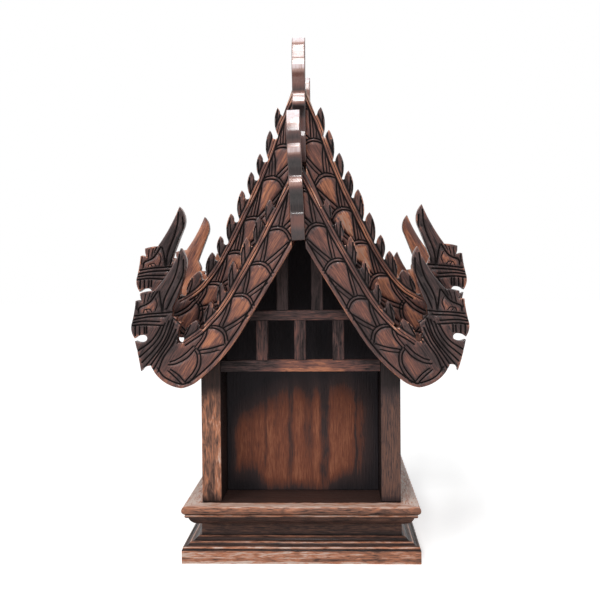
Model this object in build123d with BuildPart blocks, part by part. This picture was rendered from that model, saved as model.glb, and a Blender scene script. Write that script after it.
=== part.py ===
from build123d import *
from math import cos, radians, sin
import os

os.makedirs("parts", exist_ok=True)

# A carved wooden spirit house that stands on a table. The ridge runs front to back along Y,
# the two gable ends face -Y and +Y, and Z is up. The origin is on the table, under the middle
# of the house. Everything is in millimetres.

# Plinth
LEDGE_WIDTH = 239.0
LEDGE_DEPTH = 300.0
LEDGE_TOP = 57.0
LEDGE_HEIGHT = 21.0
FOOT_HEIGHT = 24.5
MOULDING_REACH = 18.0
RAIL_THICKNESS = 14.0
FLOOR_THICKNESS = 11.0

# Walls and gable ends
WALL_THICKNESS = 20.0
WALL_INSET = 0.5
WALL_SETBACK = 3.0
PANEL_THICKNESS = 12.0
PANEL_RECESS = 50.0

# Lattice in the gable
LATTICE_DEPTH = 12.0
BEAM_BOTTOM = 190.0
BEAM_HEIGHT = 11.5
BAR_BOTTOM = 242.0
BAR_HEIGHT = 10.0
STRUT_WIDTH = 11.8
LOWER_STRUT_SPACING = 38.7
UPPER_STRUT_SPACING = 35.0

# Roof boards. Each plane falls from the peak height over the middle to the eave height, both
# measured on its underside. The overhang is how far it reaches past the outside of the wall.
ROOF_THICKNESS = 10.0
LOWER_PEAK = 330.0
LOWER_EAVE = 184.0
LOWER_OVERHANG = 5.0
UPPER_PEAK = 409.0
UPPER_EAVE = 228.0
UPPER_OVERHANG = 9.0
TIER_STEP = 48.0

# Serpent boards. Fins and notches are cut by hand and differ from board to board. The gape is
# half the width of the notches between the fins. The fin tip and the nape are offsets across
# and up, from the bottom of the notch above the fin and from the neck.
BOARD_THICKNESS = 15.0
FIN_TIP = Vector(5.4, 9.0)
FIN_SWELL = 3.3
NAPE = Vector(0.3, 45.3)
NAPE_GAPE = 2.8
GAPES = {
    "front_lower_left": 2.1,
    "front_lower_right": 2.6,
    "front_upper_left": 2.6,
    "front_upper_right": 1.2,
}
REAR_GAPE = 1.6

# Finials. The nose is the higher of the two swellings, measured from the foot, which stands
# this far below the peak of the roof boards. The lower finial at the front has tipped to the
# left.
FINIAL_THICKNESS = 13.6
FINIAL_HEIGHT = 128.5
FINIAL_REACH = 16.0
FINIAL_HEEL = 52.0
LOWER_FINIAL_DROP = 8.0
LOWER_FINIAL_NOSE = 88.0
UPPER_FINIAL_DROP = 4.5
UPPER_FINIAL_NOSE = 96.0
TIPPED_FINIAL_LEAN = 2.0

# Where things meet, worked out from the sizes above.
HALF_LEDGE_WIDTH = LEDGE_WIDTH / 2
HALF_LEDGE_DEPTH = LEDGE_DEPTH / 2
HALF_NECK_WIDTH = HALF_LEDGE_WIDTH - MOULDING_REACH
HALF_NECK_DEPTH = HALF_LEDGE_DEPTH - MOULDING_REACH
FLOOR_BOTTOM = LEDGE_TOP - FLOOR_THICKNESS
WALL_OUTER = HALF_NECK_WIDTH - WALL_INSET
WALL_INNER = WALL_OUTER - WALL_THICKNESS
WALL_FRONT = HALF_NECK_DEPTH - WALL_SETBACK
PANEL_FRONT = WALL_FRONT - PANEL_RECESS
BOARD_BACK = HALF_LEDGE_DEPTH - BOARD_THICKNESS
UPPER_BOARD_BACK = BOARD_BACK - TIER_STEP
LOWER_REACH = WALL_OUTER + LOWER_OVERHANG
UPPER_REACH = WALL_OUTER + UPPER_OVERHANG
LOWER_SLOPE = (LOWER_PEAK - LOWER_EAVE) / LOWER_REACH
UPPER_SLOPE = (UPPER_PEAK - UPPER_EAVE) / UPPER_REACH
LOWER_FINIAL_FOOT = LOWER_PEAK - LOWER_FINIAL_DROP
UPPER_FINIAL_FOOT = UPPER_PEAK - UPPER_FINIAL_DROP

SIDES = {"left": -1, "right": 1}
ENDS = {"front": -1, "rear": 1}


def save(piece, name):
    """Label a finished piece and write it to its own file."""
    piece.part.label = name
    export_step(piece.part, f"parts/{name}.step")


def lower_roof(across):
    """Height of the lower roof's underside at a distance from the middle."""
    return LOWER_PEAK - LOWER_SLOPE * abs(across)


def upper_roof(across):
    """Height of the upper roof's underside at a distance from the middle."""
    return UPPER_PEAK - UPPER_SLOPE * abs(across)


def gable_plane(distance, end):
    """Upright plane across the house, at a distance from its middle. Its sketches have the
    width along X and the height along Z."""
    return Plane.XZ.offset(-end * distance)


# Plinth: a rail frame with a moulded foot round its bottom and a moulded ledge round its top,
# and the floor board on the rails, inside the ledge.

def moulding_run(name, profile, half_length, half_width, turn):
    """One side of a mitred moulding. The profile is drawn with its reach from the neck along
    the first axis and its height along the second."""
    run = Vector(cos(radians(turn)), sin(radians(turn)), 0)
    out = Vector(sin(radians(turn)), -cos(radians(turn)), 0)
    with BuildPart() as piece:
        with BuildSketch(Plane(origin=run * -half_length, x_dir=out, z_dir=run * -1)):
            with BuildLine():
                profile(half_width)
            make_face()
        extrude(amount=-2 * half_length)
        for end in (-1, 1):
            corner = out * half_width + run * (end * half_length)
            mitre = (run * end - out).normalized()
            split(bisect_by=Plane(origin=corner, z_dir=mitre), keep=Keep.BOTTOM)
    save(piece, name)


def foot_profile(edge):
    """The foot: an upright face, a quirk, and beads that step back up to the neck."""
    neck = edge - MOULDING_REACH
    face_top = 13.6
    quirk = 1.2
    bead_top = 17.0
    step = 20.4
    Polyline((neck, 0), (edge, 0), (edge, face_top), (edge - quirk, face_top + 0.9))
    ThreePointArc((edge - quirk, face_top + 0.9), (edge - 0.9, 16.0), (edge - 3.6, bead_top))
    Line((edge - 3.6, bead_top), (edge - 6.0, bead_top + 0.6))
    ThreePointArc((edge - 6.0, bead_top + 0.6), (edge - 7.4, 19.6), (edge - 10.4, step))
    Line((edge - 10.4, step), (edge - 12.0, step + 0.6))
    ThreePointArc((edge - 12.0, step + 0.6), (edge - 14.5, FOOT_HEIGHT - 1), (neck, FOOT_HEIGHT))
    Line((neck, FOOT_HEIGHT), (neck, 0))


def ledge_profile(edge):
    """The ledge: a rounded nose, a quirk, a bead and a hollow that runs back to the neck."""
    neck = edge - MOULDING_REACH
    nose = LEDGE_TOP - 4.0
    quirk = LEDGE_TOP - 8.6
    bead = LEDGE_TOP - 12.0
    bottom = LEDGE_TOP - LEDGE_HEIGHT
    Polyline((neck, bottom), (neck, LEDGE_TOP), (edge - 2.4, LEDGE_TOP))
    ThreePointArc((edge - 2.4, LEDGE_TOP), (edge, nose), (edge - 2.4, nose - 4.0))
    Line((edge - 2.4, nose - 4.0), (edge - 3.4, quirk))
    ThreePointArc((edge - 3.4, quirk), (edge - 2.9, quirk - 2.0), (edge - 5.0, bead))
    Line((edge - 5.0, bead), (edge - 6.2, bead - 0.3))
    ThreePointArc((edge - 6.2, bead - 0.3), (edge - 10.4, bead - 6.2), (neck, bottom))


for place, turn in {"front": 0, "right": 90, "rear": 180, "left": 270}.items():
    if place in ENDS:
        half_length, half_width = HALF_LEDGE_WIDTH, HALF_LEDGE_DEPTH
    else:
        half_length, half_width = HALF_LEDGE_DEPTH, HALF_LEDGE_WIDTH
    moulding_run(f"foot_moulding_{place}", foot_profile, half_length, half_width, turn)
    moulding_run(f"ledge_moulding_{place}", ledge_profile, half_length, half_width, turn)

for place, end in ENDS.items():
    with BuildPart() as end_rail:
        with BuildSketch():
            with Locations((0, end * (HALF_NECK_DEPTH - RAIL_THICKNESS / 2))):
                Rectangle(2 * HALF_NECK_WIDTH, RAIL_THICKNESS)
        extrude(amount=FLOOR_BOTTOM)
    save(end_rail, f"neck_rail_{place}")

for place, side in SIDES.items():
    with BuildPart() as side_rail:
        with BuildSketch():
            with Locations((side * (HALF_NECK_WIDTH - RAIL_THICKNESS / 2), 0)):
                Rectangle(RAIL_THICKNESS, 2 * (HALF_NECK_DEPTH - RAIL_THICKNESS))
        extrude(amount=FLOOR_BOTTOM)
    save(side_rail, f"neck_rail_{place}")

with BuildPart() as floor_board:
    with BuildSketch(Plane.XY.offset(FLOOR_BOTTOM)):
        Rectangle(2 * HALF_NECK_WIDTH, 2 * HALF_NECK_DEPTH)
    extrude(amount=FLOOR_THICKNESS)
save(floor_board, "floor_board")


# Side walls: thick planks. Their tops are cut to the pitch of the roof boards, low at both
# ends and high in the middle.
for place, side in SIDES.items():
    with BuildPart() as wall:
        with BuildSketch(gable_plane(PANEL_FRONT, -1)):
            with BuildLine():
                Polyline(
                    (side * WALL_INNER, LEDGE_TOP),
                    (side * WALL_OUTER, LEDGE_TOP),
                    (side * WALL_OUTER, upper_roof(WALL_OUTER)),
                    (side * WALL_INNER, upper_roof(WALL_INNER)),
                    close=True,
                )
            make_face()
        extrude(amount=-2 * PANEL_FRONT)
        for end in ENDS.values():
            with BuildSketch(gable_plane(PANEL_FRONT, end)):
                with BuildLine():
                    Polyline(
                        (side * WALL_INNER, LEDGE_TOP),
                        (side * WALL_OUTER, LEDGE_TOP),
                        (side * WALL_OUTER, lower_roof(WALL_OUTER)),
                        (side * WALL_INNER, lower_roof(WALL_INNER)),
                        close=True,
                    )
                make_face()
            extrude(amount=-end * (WALL_FRONT - PANEL_FRONT))
    save(wall, f"{place}_wall")


# Gable ends: a panel set back between the walls, and in front of it a beam and the lattice.
for place, end in ENDS.items():
    with BuildPart() as panel:
        with BuildSketch(gable_plane(PANEL_FRONT, end)):
            with BuildLine():
                Polyline(
                    (-WALL_INNER, LEDGE_TOP),
                    (WALL_INNER, LEDGE_TOP),
                    (WALL_INNER, upper_roof(WALL_INNER)),
                    (0, UPPER_PEAK),
                    (-WALL_INNER, upper_roof(WALL_INNER)),
                    close=True,
                )
            make_face()
        extrude(amount=end * PANEL_THICKNESS)
    save(panel, f"{place}_panel")

    with BuildPart() as beam:
        with BuildSketch(gable_plane(WALL_FRONT, end)):
            with Locations((0, BEAM_BOTTOM + BEAM_HEIGHT / 2)):
                Rectangle(2 * WALL_INNER, BEAM_HEIGHT)
        extrude(amount=end * LATTICE_DEPTH)
    save(beam, f"{place}_beam")

    bar_top = BAR_BOTTOM + BAR_HEIGHT
    long_half = (LOWER_PEAK - BAR_BOTTOM) / LOWER_SLOPE
    short_half = (LOWER_PEAK - bar_top) / LOWER_SLOPE
    with BuildPart() as bar:
        with BuildSketch(gable_plane(WALL_FRONT, end)):
            with BuildLine():
                Polyline(
                    (-long_half, BAR_BOTTOM),
                    (long_half, BAR_BOTTOM),
                    (short_half, bar_top),
                    (-short_half, bar_top),
                    close=True,
                )
            make_face()
        extrude(amount=end * LATTICE_DEPTH)
    save(bar, f"{place}_lattice_bar")

    beam_top = BEAM_BOTTOM + BEAM_HEIGHT
    strut_height = BAR_BOTTOM - beam_top
    beam_half = (LOWER_PEAK - beam_top) / LOWER_SLOPE
    with BuildPart() as lower_struts:
        with BuildSketch(gable_plane(WALL_FRONT, end)):
            with Locations((0, beam_top + strut_height / 2)):
                with GridLocations(LOWER_STRUT_SPACING, 1, 3, 1):
                    Rectangle(STRUT_WIDTH, strut_height)
            with BuildLine():
                Polyline((-beam_half, beam_top), (beam_half, beam_top), (0, LOWER_PEAK), close=True)
            make_face(mode=Mode.INTERSECT)
        extrude(amount=end * LATTICE_DEPTH)
    save(lower_struts, f"{place}_lower_struts")

    with BuildPart() as upper_struts:
        with BuildSketch(gable_plane(WALL_FRONT, end)):
            for side in SIDES.values():
                near = side * (UPPER_STRUT_SPACING - STRUT_WIDTH) / 2
                far = side * (UPPER_STRUT_SPACING + STRUT_WIDTH) / 2
                with BuildLine():
                    Polyline(
                        (near, bar_top),
                        (far, bar_top),
                        (far, lower_roof(far)),
                        (near, lower_roof(near)),
                        close=True,
                    )
                make_face()
        extrude(amount=end * LATTICE_DEPTH)
    save(upper_struts, f"{place}_upper_struts")


# Roof boards: one flat board on each slope of the tall middle tier and of the low tier at
# each end. The two boards of a tier meet over the middle.
def roof_board(name, side, peak, slope, reach, start, length, end):
    """A board from one gable plane towards the other, square at the eave."""
    underside = (1 + slope * slope) ** 0.5
    across = slope / underside * ROOF_THICKNESS
    up = 1 / underside * ROOF_THICKNESS
    eave = peak - slope * reach
    with BuildPart() as board:
        with BuildSketch(gable_plane(start, end)):
            with BuildLine():
                Polyline(
                    (0, peak),
                    (side * reach, eave),
                    (side * (reach + across), eave + up),
                    (0, peak + underside * ROOF_THICKNESS),
                    close=True,
                )
            make_face()
        extrude(amount=end * length)
    save(board, name)


for place, side in SIDES.items():
    roof_board(f"upper_roof_{place}", side, UPPER_PEAK, UPPER_SLOPE, UPPER_REACH,
               UPPER_BOARD_BACK, 2 * UPPER_BOARD_BACK, -1)
    for where, end in ENDS.items():
        roof_board(f"{where}_lower_roof_{place}", side, LOWER_PEAK, LOWER_SLOPE, LOWER_REACH,
                   BOARD_BACK, BOARD_BACK - PANEL_FRONT, end)


# Serpent boards: each gable slope ends in a board cut as a serpent, with flame fins along its
# back and a horned head at the eave. The outline is given for the right-hand side. The belly is
# the lower edge of the body, and the back is the line that the notches between the fins reach
# down to. A point on them is given by where it lies across, as a share of the roof's reach, and
# by its height over the roof's underside. The steps are the spacings of the notches down to the
# nape. The horn and the head are offsets across and up from the neck.
TIERS = {
    "lower": {
        "roof": lower_roof,
        "reach": LOWER_REACH,
        "behind": BOARD_BACK,
        "belly": ((0, -4.0), (0.283, -12.2), (0.566, -19.4), (0.755, -17.3), (0.925, -9.0),
                  (1.019, -2.2), (1.113, 8.5)),
        "back": ((0.212, 55.0), (0.434, 49.9), (0.675, 40.5), (0.906, 37.7)),
        "peak": 76.5,
        "neck": (1.113, 8.5),
        "steps": (20.6, 23.3, 27.0, 24.9, 21.2, 23.5, 25.6),
        "horn": ((26.6, 97.2), (11.6, 115.2), (-1.0, 139.4), (-5.8, 129.2), (-5.4, 119.2),
                 (-0.4, 100.5), (8.1, 81.0)),
        "foot": LOWER_FINIAL_FOOT,
        "nose": LOWER_FINIAL_NOSE,
    },
    "upper": {
        "roof": upper_roof,
        "reach": UPPER_REACH,
        "behind": UPPER_BOARD_BACK,
        "belly": ((0, -3.5), (0.218, -17.5), (0.423, -24.9), (0.614, -27.4), (0.823, -17.6),
                  (0.964, -4.7), (1.114, 15.8)),
        "back": ((0.155, 71.0), (0.327, 54.7), (0.505, 48.3), (0.714, 39.2), (0.927, 41.2)),
        "peak": 90.0,
        "neck": (1.114, 14.0),
        "steps": (24.8, 26.0, 20.8, 21.6, 26.7, 26.0, 19.1, 24.3, 27.4),
        "horn": ((26.4, 97.6), (15.6, 113.8), (3.3, 138.5), (-2.2, 127.0), (-1.2, 117.6),
                 (4.6, 103.4), (12.0, 84.0)),
        "foot": UPPER_FINIAL_FOOT,
        "nose": UPPER_FINIAL_NOSE,
    },
}
BEARD_TIP = Vector(40.0, 17.2)
SHORT_BEARD_TIP = Vector(36.8, 13.8)


def over_roof(tier, line):
    """Points of a line that is given over the underside of a tier's roof."""
    places = [(share * tier["reach"], rise) for share, rise in line]
    return [Vector(across, tier["roof"](across) + rise) for across, rise in places]


def arcs(*points):
    """Joined arcs, each one through the last point of the arc before and the next two."""
    for first in range(0, len(points) - 2, 2):
        ThreePointArc(*points[first:first + 3])


def notch_side(gape, side):
    """Where the round bottom of a notch ends, from its lowest point. The side of the fin above,
    -1, starts higher than the side of the fin below, 1."""
    return Vector(side * 1.12 * gape, (1.4 - 0.2 * side) * gape)


def serpent_head(neck, belly_end, horn, beard_tip):
    """The head's outline from the throat round to the nape."""

    def at(*points):
        return [neck + Vector(*point) for point in points]

    nape = NAPE + notch_side(NAPE_GAPE, 1)
    throat = at((18.3, 7.2), (30.2, 22.5))
    beard = at((30.2, 22.5), (36.2, 21.2), beard_tip)
    chin = at(beard_tip, (42.6, 32.0), (45.8, 47.3))
    mouth = at((45.8, 47.3), (39.6, 45.9), (34, 48.2), (33.7, 51.4), (36.8, 53.4), (42, 52.6),
               (46.0, 50.0))
    snout = at((46.0, 50.0), (49.2, 57.9), (48.4, 66.9), (46.1, 76.6), (44.6, 87.4))
    brow = at((44.6, 87.4), (42.6, 88.0), (38.3, 86.4), (39.6, 90.4), (39.7, 95.2))
    crest = at((39.7, 95.2), (34.4, 96.6), horn[0])
    mane = at(horn[-1], (8.3, 75.6), (8.8, 71.6), (3.9, 70.9), (4.6, 67.0), (-1.4, 66.2))
    back_of_head = at((-1.4, 66.2), (2.6, 56.4), nape)
    arcs(belly_end, *throat)
    for outline in (beard, chin, mouth, snout):
        arcs(*outline)
    Polyline(*brow)
    arcs(*crest)
    arcs(*at(*horn))
    Polyline(*mane)
    arcs(*back_of_head)


def flame_fin(notch, gape, below, gape_below):
    """A flame-shaped fin between two notches, from the upper notch over the tip to the lower
    one, and the round bottom of the lower notch."""
    start = notch + notch_side(gape, 1)
    tip = notch + FIN_TIP
    throat = (start + tip) / 2 + Vector(-0.5, 0.7)
    finish = below + notch_side(gape_below, -1)
    fall = finish - tip
    out = Vector(-fall.Y, fall.X) / fall.length
    arcs(start, throat, tip, tip + fall * 0.45 + out * FIN_SWELL, finish, below,
         below + notch_side(gape_below, 1))


def serpent_board(name, side, end, tier, lean, gape, beard_tip):
    """One board, from the finial's side to the head. The finial's place is cut out of it."""
    neck = over_roof(tier, [tier["neck"]])[0]
    belly = over_roof(tier, tier["belly"])
    peak = tier["roof"](0) + tier["peak"]
    back = Spline(*over_roof(tier, tier["back"]), neck + NAPE, mode=Mode.PRIVATE)
    steps = tier["steps"]
    shares = [sum(steps[:count]) / sum(steps) for count in range(len(steps) + 1)]
    notches = [back.position_at(share * back.length, position_mode=PositionMode.LENGTH)
               for share in shares]
    gapes = [gape] * len(steps) + [NAPE_GAPE]
    with BuildPart() as board:
        with BuildSketch(gable_plane(tier["behind"], end)):
            with BuildLine():
                arcs(*belly)
                serpent_head(neck, belly[-1], tier["horn"], beard_tip)
                for notch, below, gape_below in zip(notches, notches[1:], gapes[1:]):
                    flame_fin(notch, gape, below, gape_below)
                Polyline(belly[0], (0, peak), notches[0], notches[0] + notch_side(gape, 1))
            make_face()
            if side < 0:
                mirror(about=Plane.YZ, mode=Mode.REPLACE)
            with Locations(Location((0, tier["foot"], 0), (0, 0, lean))):
                Rectangle(FINIAL_THICKNESS, 2 * peak, mode=Mode.SUBTRACT)
        extrude(amount=-end * BOARD_THICKNESS)
    save(board, name)


# Finials: one upright board at each peak, between the two serpent boards. Its edge faces the
# gable and swells twice under a tip that leans back.
def finial(name, end, tier, lean):
    """A finial whose back is flush with the back of the serpent boards."""
    reach = FINIAL_REACH
    top = FINIAL_HEIGHT
    nose = tier["nose"]

    def at(*points):
        front = tier["behind"] + BOARD_THICKNESS
        return [(end * (front + out), up) for out, up in points]

    swellings = at((0, 0), (0.34 * reach, 0.14 * nose), (0.26 * reach, 0.32 * nose),
                   (0.4 * reach, 0.48 * nose), (0.8 * reach, 0.58 * nose),
                   (0.8 * reach, 0.64 * nose), (0.56 * reach, 0.7 * nose),
                   (0.6 * reach, 0.84 * nose), (0.92 * reach, 0.93 * nose),
                   (reach, nose), (0.9 * reach, 1.06 * nose),
                   (0.75 * reach, top - 16), (-0.2 * reach, top))
    heel = at((-0.2 * reach, top), (-0.5 * reach, top - 8), (-0.4 * reach, nose),
              (-0.5 * reach, nose - 20), (-BOARD_THICKNESS, FINIAL_HEEL))
    leaning = Plane(origin=(0, 0, tier["foot"]), x_dir=(0, 1, 0),
                    z_dir=(cos(radians(lean)), 0, sin(radians(lean))))
    with BuildPart() as piece:
        with BuildSketch(leaning.offset(-FINIAL_THICKNESS / 2)):
            with BuildLine():
                arcs(*swellings)
                arcs(*heel)
                Polyline(heel[-1], (heel[-1][0], 0), swellings[0])
            make_face()
        extrude(amount=FINIAL_THICKNESS)
    save(piece, name)


for where, end in ENDS.items():
    for level, tier in TIERS.items():
        lean = TIPPED_FINIAL_LEAN if (where, level) == ("front", "lower") else 0
        for place, side in SIDES.items():
            gape = GAPES.get(f"{where}_{level}_{place}", REAR_GAPE)
            short = (where, level, place) == ("front", "lower", "right")
            serpent_board(f"{where}_{level}_serpent_{place}", side, end, tier, lean, gape,
                          SHORT_BEARD_TIP if short else BEARD_TIP)
        finial(f"{where}_{level}_finial", end, tier, lean)
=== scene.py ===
import random
from itertools import product
from math import radians

import bmesh
import bpy
import numpy as np
from bpy.props import FloatProperty, FloatVectorProperty, PointerProperty
from mathutils import Matrix, Vector
from mathutils.geometry import delaunay_2d_cdt
from mathutils.kdtree import KDTree


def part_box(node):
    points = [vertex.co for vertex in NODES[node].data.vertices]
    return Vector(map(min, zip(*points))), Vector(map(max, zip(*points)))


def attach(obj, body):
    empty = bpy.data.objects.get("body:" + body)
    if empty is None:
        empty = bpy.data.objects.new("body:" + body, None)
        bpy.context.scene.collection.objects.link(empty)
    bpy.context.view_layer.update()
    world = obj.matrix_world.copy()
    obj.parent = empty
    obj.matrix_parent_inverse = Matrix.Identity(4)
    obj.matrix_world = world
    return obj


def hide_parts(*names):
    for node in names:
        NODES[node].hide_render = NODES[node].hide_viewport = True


bl_info = {
    "name": "Wooden Spirit House",
    "version": (1, 0, 0),
    "blender": (4, 5, 0),
    "location": "View3D > Sidebar > Spirit House",
    "description": "Carves and stains the boards of a tabletop wooden spirit house",
    "category": "Add Mesh",
}

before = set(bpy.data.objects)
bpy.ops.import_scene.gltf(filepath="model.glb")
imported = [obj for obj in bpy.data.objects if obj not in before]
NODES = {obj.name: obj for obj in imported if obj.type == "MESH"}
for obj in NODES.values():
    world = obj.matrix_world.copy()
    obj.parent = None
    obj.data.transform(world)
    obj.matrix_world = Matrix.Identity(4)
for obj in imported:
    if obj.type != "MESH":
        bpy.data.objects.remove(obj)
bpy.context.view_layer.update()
MM = 0.001

ENDS = {"front": -1, "rear": 1}
SIDES = {"left": -1, "right": 1}


# Settings

def length(name, description, default):
    return FloatProperty(name=name, description=description, default=default, min=0.0,
                         unit="LENGTH", precision=5)


def colour(name, description, default):
    return FloatVectorProperty(name=name, description=description, default=default, size=3,
                               subtype="COLOR", min=0.0, max=1.0)


def power(name, description, default):
    return FloatProperty(name=name, description=description, default=default, min=0.0,
                         unit="POWER")


class CarvingSettings(bpy.types.PropertyGroup):
    groove: length("Groove", "Half the width of the main cut lines", 0.00105)
    groove_depth: length("Groove depth", "Depth of the main cut lines", 0.0018)
    stroke: length("Stroke", "Half the width of the fine strokes", 0.0007)
    stroke_depth: length("Stroke depth", "Depth of the fine strokes", 0.0011)
    fin_drop: length("Fin drop", "How far the fins lie behind the body", 0.0014)
    edge_round: length("Edge round", "Radius of the worn edge round a board", 0.0012)
    crown: length("Crown", "How far the fields between the lines fall towards them", 0.0006)
    spacing: length("Spacing", "Distance between points on the plain fields", 0.0024)


class EdgeSettings(bpy.types.PropertyGroup):
    plank: length("Plank edges", "Width of the worn edge on walls, panels and roof boards", 0.0011)
    moulding: length("Moulding edges", "Width of the worn edge on the plinth", 0.0006)
    lattice: length("Lattice edges", "Width of the worn edge on beams and struts", 0.0009)
    finial: length("Finial edges", "Width of the polished edge on the finials", 0.0014)


class StainSettings(bpy.types.PropertyGroup):
    cut: colour("Cut lines", "Stain that has gathered in the cut lines", (0.008, 0.006, 0.006))
    dark: colour("Dark stain", "Stain on the fins and the heads", (0.055, 0.036, 0.035))
    brown: colour("Brown stain", "Stain on the raised fields", (0.165, 0.074, 0.060))
    orange: colour("Orange stain", "Where the stain has rubbed thin", (0.47, 0.188, 0.102))
    worn: colour("Worn edges", "Bare wood on edges", (0.46, 0.32, 0.26))
    panel: colour("Panel", "Middle of the gable panels", (0.215, 0.073, 0.044))
    plank: colour("Planks", "Walls and plinth", (0.200, 0.098, 0.068))
    earth: colour("Dark planks", "Dark stain on walls and plinth", (0.060, 0.032, 0.026))
    # Black of the panels' painted shade, where they darken towards the walls, the beam and the
    # foot.
    panel_painted_shade: colour("Soot", "Corners of the panels that nobody wipes", (0.020, 0.018, 0.021))
    dry: colour("Dry wood", "Where walls and plinth have worn bare", (0.62, 0.48, 0.41))
    # The next two are painted highlight on the finials: the tint where the pale bands begin, and
    # the pale of the bands.
    painted_haze: colour("Finial haze", "Finials where the polish begins", (0.36, 0.215, 0.180))
    painted_highlight: colour("Finial polish", "Finials where they are polished pale", (0.80, 0.73, 0.76))


class StudioSettings(bpy.types.PropertyGroup):
    key: power("Key lamp", "Power of the lamp at the upper left", 13.0)
    fill: power("Fill lamp", "Power of the lamp at the right", 3.0)
    strip: power("Strip lamp", "Power of the narrow lamp over the front", 4.0)
    top: power("Top lamp", "Power of the narrow lamp overhead", 2.6)
    room: FloatProperty(name="Room light", description="Strength of the light from all round",
                        default=0.30, min=0.0)
    floor: colour("Floor", "Colour of the floor", (0.84, 0.84, 0.84))


def settings(part):
    return getattr(bpy.context.scene.spirit_house, part)


# Lines in the face of a board. They are given in millimetres for a right-hand board, with x
# across from the middle of the house and z up from the table.

def smooth_line(points, step=0.7):
    """Points along a smooth line through the given ones."""
    given = [np.array(p, float) for p in points]
    ends = [2 * given[0] - given[1]] + given + [2 * given[-1] - given[-2]]
    line = [given[0]]
    for a, b, c, d in zip(ends, ends[1:], ends[2:], ends[3:]):
        count = max(1, int(np.hypot(*(c - b)) / step))
        for k in range(1, count + 1):
            t = k / count
            line.append(0.5 * (2 * b + (c - a) * t + (2 * a - 5 * b + 4 * c - d) * t * t
                               + (3 * b - a - 3 * c + d) * t ** 3))
    return np.array(line)


def samples(line, step=0.15):
    """Points close together along a line."""
    spans = np.diff(line, axis=0)
    counts = np.maximum(1, np.ceil(np.hypot(*spans.T) / step)).astype(int)
    shares = np.concatenate([np.arange(count) / count for count in counts])
    starts = np.repeat(line[:-1], counts, axis=0)
    return np.vstack((starts + np.repeat(spans, counts, axis=0) * shares[:, None], line[-1:]))


def nearest(points, spots):
    """For each point how far the nearest of some spots is, and which one that is."""
    tree = KDTree(len(spots))
    for index, (x, z) in enumerate(spots):
        tree.insert((x, z, 0.0), index)
    tree.balance()
    found = [tree.find((x, z, 0.0)) for x, z in points]
    return np.array([f[2] for f in found]), np.array([f[1] for f in found])


# How far apart the two places are that give a line's heading.
HEADING_SPAN = 3.0


class Course:
    """A smooth line along a board. A place on the board is named by how far along the line it
    is, and how far from it towards the belly."""

    def __init__(self, points):
        self.line = smooth_line(points, 0.5)
        steps = np.hypot(*np.diff(self.line, axis=0).T)
        self.along = np.concatenate(([0.0], np.cumsum(steps)))
        self.length = self.along[-1]

    def at(self, along, aside):
        x = np.interp(along, self.along, self.line[:, 0])
        z = np.interp(along, self.along, self.line[:, 1])
        ahead = self.heading(along)
        beyond = along - min(max(along, 0.0), self.length)
        return (x + ahead[0] * beyond + ahead[1] * aside,
                z + ahead[1] * beyond - ahead[0] * aside)

    def heading(self, along):
        half = HEADING_SPAN / 2
        near = min(max(along, half), self.length - half)
        a, b = (np.array([np.interp(near + step, self.along, self.line[:, k]) for k in (0, 1)])
                for step in (-half, half))
        return (b - a) / np.hypot(*(b - a))

    def locate(self, points):
        """How far along and how far aside each of some points is."""
        _, spots = nearest(points, self.line)
        before = self.line[np.maximum(spots - 1, 0)]
        after = self.line[np.minimum(spots + 1, len(self.line) - 1)]
        ahead = (after - before) / np.hypot(*(after - before).T)[:, None]
        offset = points - self.line[spots]
        return (self.along[spots] + (offset * ahead).sum(1),
                ahead[:, 1] * offset[:, 0] - ahead[:, 0] * offset[:, 1])


# The line of the beaded strip under the fins, the lower edge as far as the throat, the places
# along the strip where a ring crosses the body, and how much further out the tip of the horn
# stands than on a lower board.
TIERS = {
    "lower": {
        "strip": ((0, 394), (14.7, 366.2), (34.2, 328.4), (44.9, 308.7), (61.2, 280.2),
                  (77.3, 255.2), (96.3, 234.4), (109.0, 225.2), (120.5, 217.5)),
        "belly": ((0, 326), (30, 276.5), (60, 228), (80, 202.5), (98, 186), (108, 179),
                  (118, 176), (136.3, 183.2), (148.2, 198.5)),
        "neck": (118, 176),
        "rings": {"left": (17.5, 60.0, 98.6, 134.5, 173.0),
                  "right": (17.5, 56.5, 96.0, 138.4, 173.0)},
        "ring_end": 203.0,
        "horn_out": 0.0,
    },
    "upper": {
        "strip": ((0, 488), (10, 466), (21.1, 440.5), (29.6, 415.9), (41, 387), (50.9, 365.2),
                  (62.3, 342.1), (72.4, 321.7), (86.6, 297), (100.9, 278.0), (113.0, 267.6),
                  (125.0, 261.0)),
        "belly": ((0, 405.5), (24, 352), (46.5, 307.6), (67.5, 270.5), (90.5, 242.5),
                  (106, 229.9), (122.5, 223.2), (140.8, 228.6), (152.7, 243.9)),
        "neck": (122.5, 221.4),
        "rings": {"left": (28.0, 67.0, 101.0, 146.0, 185.0, 222.0),
                  "right": (22.5, 60.7, 98.7, 136.5, 174.5, 213.0)},
        "ring_end": 252.0,
        "horn_out": 4.3,
    },
}

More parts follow.
